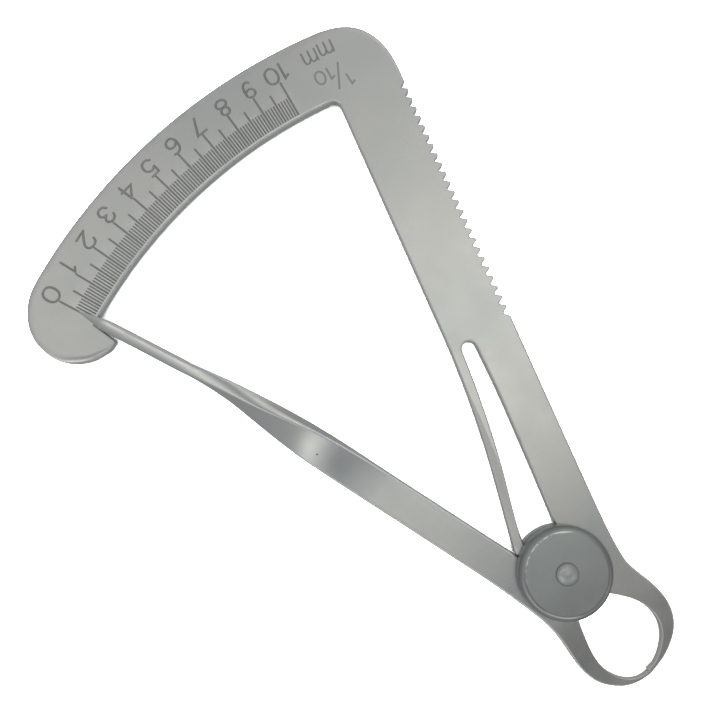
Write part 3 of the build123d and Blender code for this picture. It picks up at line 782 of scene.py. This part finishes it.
def leaf_section(t):
    L, R = along(left, t), along(right, t)
    w = math.dist(L, R)
    ux, uy = (R[0] - L[0]) / w, (R[1] - L[1]) / w
    r, n = 0.26, SEG
    reach = w * (1.05 * min(1.0, max(0.0, (t - 0.10) / 0.62)))      # ground facet, from the left
    lean = 0.18 * ramp(t, 0.08, 0.22) * (1 - 0.55 * ramp(t, 0.74, 0.97))
    arcs = ((w - r, Z_BACK + r, -90), (w - r, Z_FACE - r, 0), (r, Z_FACE - r, 90), (r, Z_BACK + r, 180))
    pts = []
    for i, (cx, cz, start) in enumerate(arcs):
        for k in range(n + 1):
            a = math.radians(start + 90 * k / n)
            pts.append((cx + r * math.cos(a), cz + r * math.sin(a), abs(math.sin(math.radians(180 * k / n)))))
        if i == 1:                       # points along the face, one of them on the facet's edge
            edge = min(w - r - 0.02, max(r + 0.02, reach))
            for k in range(1, 4):
                pts.append((w - r + (edge - w + r) * k / 3, Z_FACE, 0.25 if k == 3 else 0.0))
            for k in range(1, 4):
                pts.append((edge + (r - edge) * k / 4, Z_FACE, 0.0))
    out = []
    for x, z, e in pts:
        if z > Z_MID:
            z -= lean * max(0.0, reach - x) * (z - Z_MID) / (Z_FACE - Z_MID)
        out.append((x, z, e))
    return section(tidy(out), lambda x, z: (L[0] + ux * x, L[1] + uy * x, z), keep=5.0)


sh = Shape()
sweep(sh, [leaf_section(k / 60) for k in range(61)])
o_leaf = sh.build("leaf_strip", [m_leaf])
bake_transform(o_leaf)
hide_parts("leaf_spring")

# ----------------------------------------------------------------- pointer arm
hw = W_ARM / 2
S_CUT = 12.0
pt = Trace(arm_pt(S_CUT, -hw), 0.38)
pt.line(arm_pt(math.sqrt(R_SHOULDER ** 2 - (OFF_ARM - hw) ** 2), -hw), 0.38)
pt.arc((-3.30, -1.166), (-0.977, -3.361), 0.12)
pt.line((-0.80, -4.5), 0.14)
pt.curve([(-0.72, -5.9), (-0.78, -7.4), (-0.86, -9.0), (-0.88, -10.5), (-0.82, -11.95),
          (-0.52, -13.45), (0.03, -14.75), (0.80, -15.80), (1.80, -16.62), (3.0, -17.15),
          (4.15, -17.25), seam_pt(17.78, -0.015)], 0.16, r_end=0.13)
pt.line(seam_pt(18.30, -0.015), 0.14)
pt.curve([(4.35, -17.72), (2.95, -17.82), (1.45, -17.60), (0.17, -17.05), (-0.95, -16.35),
          (-1.85, -15.50), (-2.60, -14.35), (-3.15, -13.1), (-3.62, -11.1), (-4.02, -8.85),
          (-4.52, -7.05), (-5.36, -5.01), (-6.42, -3.05), (-8.18, -0.05), (-10.03, 2.95),
          arm_pt(11.1, hw)], 0.16, r_end=0.38)
pt.line(arm_pt(S_CUT, hw), 0.38)
LEFT = (-D1[1], D1[0])
sh = Shape()
slab(sh, pt, Z_BACK, Z_FACE, closed=False, ends=(LEFT, (-LEFT[0], -LEFT[1])), cap=False)
ring_plate(sh, R_BOSS, R_PIN + 0.04, Z_BACK, Z_MID - 0.02)


def centre(s, h=3.0):
    if s <= S_BEND - h:
        return arm_pt(s, 0), D1
    if s >= S_BEND + h:
        k = s - S_BEND
        return (BEND[0] + D2[0] * k, BEND[1] + D2[1] * k), D2
    u = (s - S_BEND + h) / (2 * h)
    a, b, c = arm_pt(S_BEND - h, 0), BEND, (BEND[0] + D2[0] * h, BEND[1] + D2[1] * h)
    p = tuple((1 - u) ** 2 * a[i] + 2 * u * (1 - u) * b[i] + u * u * c[i] for i in (0, 1))
    d = tuple((1 - u) * D1[i] + u * D2[i] for i in (0, 1))
    return p, (d[0] / math.hypot(*d), d[1] / math.hypot(*d))


def twist(s):
    u = min(1.0, max(0.0, (s - S_TWIST0) / (S_TWIST1 - S_TWIST0)))
    return 90.0 * (u - math.sin(2 * math.pi * u) / (4 * math.pi))


def round_rect(a0, a1, b0, b1, r_low, r_high, wide=6):
    """Closed loop: a across, b up; r_low rounds the b0 corners, r_high the b1 ones."""
    corners = ((a1, b0, r_low, -90), (a1, b1, r_high, 0), (a0, b1, r_high, 90), (a0, b0, r_low, 180))
    arcs = []
    for ca, cb, r, start in corners:
        ma, mb = ca + (-r if ca == a1 else r), cb + (r if cb == b0 else -r)
        arcs.append([(ma + r * math.cos(math.radians(start + 90 * k / SEG)),
                      mb + r * math.sin(math.radians(start + 90 * k / SEG)),
                      math.sin(math.pi * k / SEG)) for k in range(SEG + 1)])
    pts = []
    for i, arc in enumerate(arcs):
        pts += arc
        (x, y, _), (u, v, _) = arc[-1], arcs[(i + 1) % 4][0]
        pts += [(x + (u - x) * k / wide, y + (v - y) * k / wide, 0.0) for k in range(1, wide)]
    return pts


def tilt_of(u):
    """Slope in degrees of the ground edge, u from its far side."""
    if u < 0.30:
        return 23 * (u - 0.12) / 0.18
    if u < 1.45:
        return 23 + 17 * (u - 0.30) / 1.15
    return math.degrees(math.asin(min(1.0, math.sin(math.radians(40)) + (u - 1.45) / 0.7)))


GROUND, drop, last = [], 0.0, 0.12           # (u, drop) across the ground edge
for k in range(16):
    u = 0.12 + 1.578 * (k / 15) ** 0.9
    for j in range(12):
        drop += math.tan(math.radians(tilt_of(last + (u - last) * (j + 0.5) / 12))) * (u - last) / 12
    last = u
    GROUND.append((u, drop))


def strip_points(W, T, w, share):
    """Section of the strip, p across and q up: rounded corners, and with w the crest at
    (-W/2, T/2) goes from rounded to ground over."""
    def corner(cp, cq, r, start):
        mp, mq = cp - math.copysign(r, cp), cq - math.copysign(r, cq)
        return [(mp + r * math.cos(math.radians(start + 90 * k / SEG)),
                 mq + r * math.sin(math.radians(start + 90 * k / SEG)), math.sin(math.pi * k / SEG)) for k in range(SEG + 1)]

    crest = []
    for k in range(16):
        a, (u, d) = math.radians(90 * k / 15), GROUND[15 - k]
        p0, q0 = 0.38 * (1 - math.sin(a)), T / 2 - 0.38 * (1 - math.cos(a))
        p1, q1 = d * share, -T / 2 + u * T / 1.7
        bare = math.sin(2 * a) * (1 - w) + 0.8 * w * max(0.0, 1 - abs(u - 0.42) / 0.42)
        crest.append((-W / 2 + p0 + (p1 - p0) * w, q0 + (q1 - q0) * w, bare))
    parts = [corner(W / 2, -T / 2, 0.38, -90), corner(W / 2, T / 2, 0.38, 0), crest,
             corner(-W / 2, -T / 2, 0.38 + (0.09 - 0.38) * w, 180)]
    pts = []
    for i, part in enumerate(parts):
        pts += part
        (x, y, _), (u, v, _) = part[-1], parts[(i + 1) % 4][0]
        pts += [(x + (u - x) * k / 6, y + (v - y) * k / 6, 0.0) for k in range(1, 6)]
    return pts


def strip_loop(s, width, thick, turn, share=1.0):
    (x, y), d = centre(s)
    a = math.radians(turn)
    lx, ly = -d[1], d[0]
    ax = (lx * math.cos(a), ly * math.cos(a), -math.sin(a))      # across
    up = (lx * math.sin(a), ly * math.sin(a), math.cos(a))       # face normal
    return section(strip_points(width, thick, ramp(s, 39.0, 56.0), share),
                   lambda p, q: (x + ax[0] * p + up[0] * q, y + ax[1] * p + up[1] * q,
                                 max(0.0, Z_MID + ax[2] * p + up[2] * q)))


def blade_w(s):
    return W_BLADE + (0.16 - W_BLADE) * max(0.0, (s - S_FULL) / (S_END - S_FULL))


def blade_h(s):
    return W_ARM + (2.62 - W_ARM) * max(0.0, (s - S_FULL) / (S_END - S_FULL))


loops = []
n = int((S_FULL - S_CUT) / 0.6)
for k in range(n + 1):
    s = S_CUT + (S_FULL - S_CUT) * k / n
    th = T_ARM + (W_BLADE - T_ARM) * max(0.0, (s - S_TWIST1) / (S_FULL - S_TWIST1))
    loops.append(strip_loop(s, W_ARM, th, twist(s)))
loops.append(strip_loop(S_SLIT, blade_h(S_SLIT), blade_w(S_SLIT), 90, 0.78))
sweep(sh, loops, cap0=False)
for side in (1, -1):                     # the prongs that straddle the sector
    prong = []
    for k in range(9):
        s = S_SLIT + (S_END - S_SLIT) * k / 8
        (x, y), d = centre(s)
        w, h = blade_w(s), blade_h(s) / 2
        r = min(0.50, w * 0.42, (h - 1.05) * 0.45)
        pts = round_rect(-w / 2, w / 2, 1.05, h, 0.02, r, 3)
        if side > 0:                     # ground over like the blade
            share = 0.78 * (h - 1.05) / (blade_h(S_SLIT) / 2 - 1.05)
            pts = [(-w / 2, 1.05, 0.0), (w / 2, 1.05, 0.0), (w / 2, h - 0.07 * share, 0.3)]
            pts += [(w / 2 - u * w / 1.7, h - d * share, 0.8 * max(0.0, 1 - abs(u - 0.42) / 0.42)) for u, d in GROUND]
        prong.append(section(pts, lambda p, q: (x + d[1] * p * side, y - d[0] * p * side, Z_MID + side * q)))
    sweep(sh, prong)
o_pointer = sh.build("pointer_body", [m_pointer])
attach(o_pointer, "pointer")
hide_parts("pointer_arm")

# ---------------------------------------------------------------- pivot pieces
for node, mat in (("front_disc", m_disc), ("back_disc", m_back), ("pivot_rivet", m_rivet)):
    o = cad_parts[node]
    o.data.materials.clear()
    o.data.materials.append(mat)

# ------------------------------------------------------------------ the studio
floor_me = bpy.data.meshes.new("floor")
floor_me.from_pydata([(-2, -2, 0), (2, -2, 0), (2, 2, 0), (-2, 2, 0)], [], [(0, 1, 2, 3)])
floor = bpy.data.objects.new("floor", floor_me)
bpy.context.scene.collection.objects.link(floor)
m, nt, bsdf = nodes_of("pale_floor")
bsdf.inputs["Base Color"].default_value = (0.93, 0.93, 0.925, 1)
bsdf.inputs["Roughness"].default_value = 0.9
bsdf.inputs["Specular IOR Level"].default_value = 0.1
floor_me.materials.append(m)
floor.location = (0, 0, -0.00002)
floor.visible_glossy = False

world = bpy.data.worlds.new("studio")
bpy.context.scene.world = world
world.use_nodes = True
nt = world.node_tree
bg = nt.nodes["Background"]
tc = nt.nodes.new("ShaderNodeTexCoord")


def calc(op, a, b=None):
    n = nt.nodes.new("ShaderNodeMath")
    n.operation = op
    for i, v in enumerate((a, b)):
        if isinstance(v, (int, float)):
            n.inputs[i].default_value = v
        elif v is not None:
            nt.links.new(v, n.inputs[i])
    return n.outputs[0]


# soft lights and flags round the table: direction, tightness, strength
LIGHTS = (
    ((0.22, 0.02, 0.98), 60, 0.78),      # main panel overhead
    ((0.0, 0.0, 1.0), 3, 0.26),
    ((-0.68, -0.43, 0.59), 70, 1.05),    # low panel, front left
    ((0.50, 0.45, 0.74), 25, 0.33),      # fill, back right
    ((-0.816, -0.165, 0.565), 110, 0.80),    # its wings
    ((-0.486, -0.659, 0.565), 80, 0.80),
    ((0.50, -0.65, 0.57), 40, 0.78),     # low panel, front right
    ((0.10, -0.70, 0.71), 40, 0.55),
    ((-0.28, 0.24, 0.93), 18, 0.16),
    ((0.20, -0.44, 0.88), 22, -0.55),    # flags
    ((-0.2, -0.35, -0.92), 12, -0.15),
    ((-0.36, -0.26, 0.90), 40, -0.39),
    ((0.05, 0.42, 0.90), 30, -0.21),
    ((0.24, -0.40, 0.885), 55, -0.32), ((0.01, -0.17, 0.985), 50, 0.17),
)
total = 0.43
for way, tight, power in LIGHTS:
    dot = nt.nodes.new("ShaderNodeVectorMath")
    dot.operation = "DOT_PRODUCT"
    dot.inputs[1].default_value = Vector(way).normalized()
    nt.links.new(tc.outputs["Generated"], dot.inputs[0])
    glow = calc("EXPONENT", calc("MULTIPLY", calc("SUBTRACT", dot.outputs["Value"], 1.0), tight))
    total = calc("ADD", calc("MULTIPLY", glow, power), total)
total = calc("MAXIMUM", total, 0.02)
nt.links.new(total, bg.inputs["Strength"])
# the panels are a little warmer than the room
room = calc("MINIMUM", calc("DIVIDE", 0.43, total), 1.0)
tint = nt.nodes.new("ShaderNodeCombineColor")
nt.links.new(calc("SUBTRACT", 1.0, calc("MULTIPLY", room, 0.018)), tint.inputs[0])
tint.inputs[1].default_value = 1.0
nt.links.new(calc("ADD", 0.925, calc("MULTIPLY", room, 0.115)), tint.inputs[2])
nt.links.new(tint.outputs[0], bg.inputs["Color"])

key_data = bpy.data.lights.new("overhead", "AREA")
key_data.shape = "DISK"
key_data.size = 1.4
key_data.energy = 90
key = bpy.data.objects.new("overhead", key_data)
key.location = (-0.1, 0.1, 1.2)
bpy.context.scene.collection.objects.link(key)
key.visible_glossy = False

# ------------------------------------------------------------------ the camera
cam_data = bpy.data.cameras.new("camera")
cam = bpy.data.objects.new("camera", cam_data)
bpy.context.scene.collection.objects.link(cam)
cam_data.lens = 800 * 36 / 713
cam_data.sensor_width = 36
cam_data.clip_start, cam_data.clip_end = 0.005, 10
eye = Vector((-18.63, 30.76, Z_FACE + 112.6)) * MM
look = Vector((-15.04, 39.02, Z_FACE)) * MM
fwd = (look - eye).normalized()
up_v = Vector((0.399, 0.917, 0.0))
right_v = fwd.cross(up_v).normalized()
up_v = right_v.cross(fwd).normalized()
from mathutils import Matrix
rot = Matrix((right_v, up_v, -fwd)).transposed()
cam.matrix_world = Matrix.Translation(eye) @ rot.to_4x4()
bpy.context.scene.camera = cam
bpy.context.scene.view_settings.view_transform = "Standard"

bpy.context.view_layer.update()
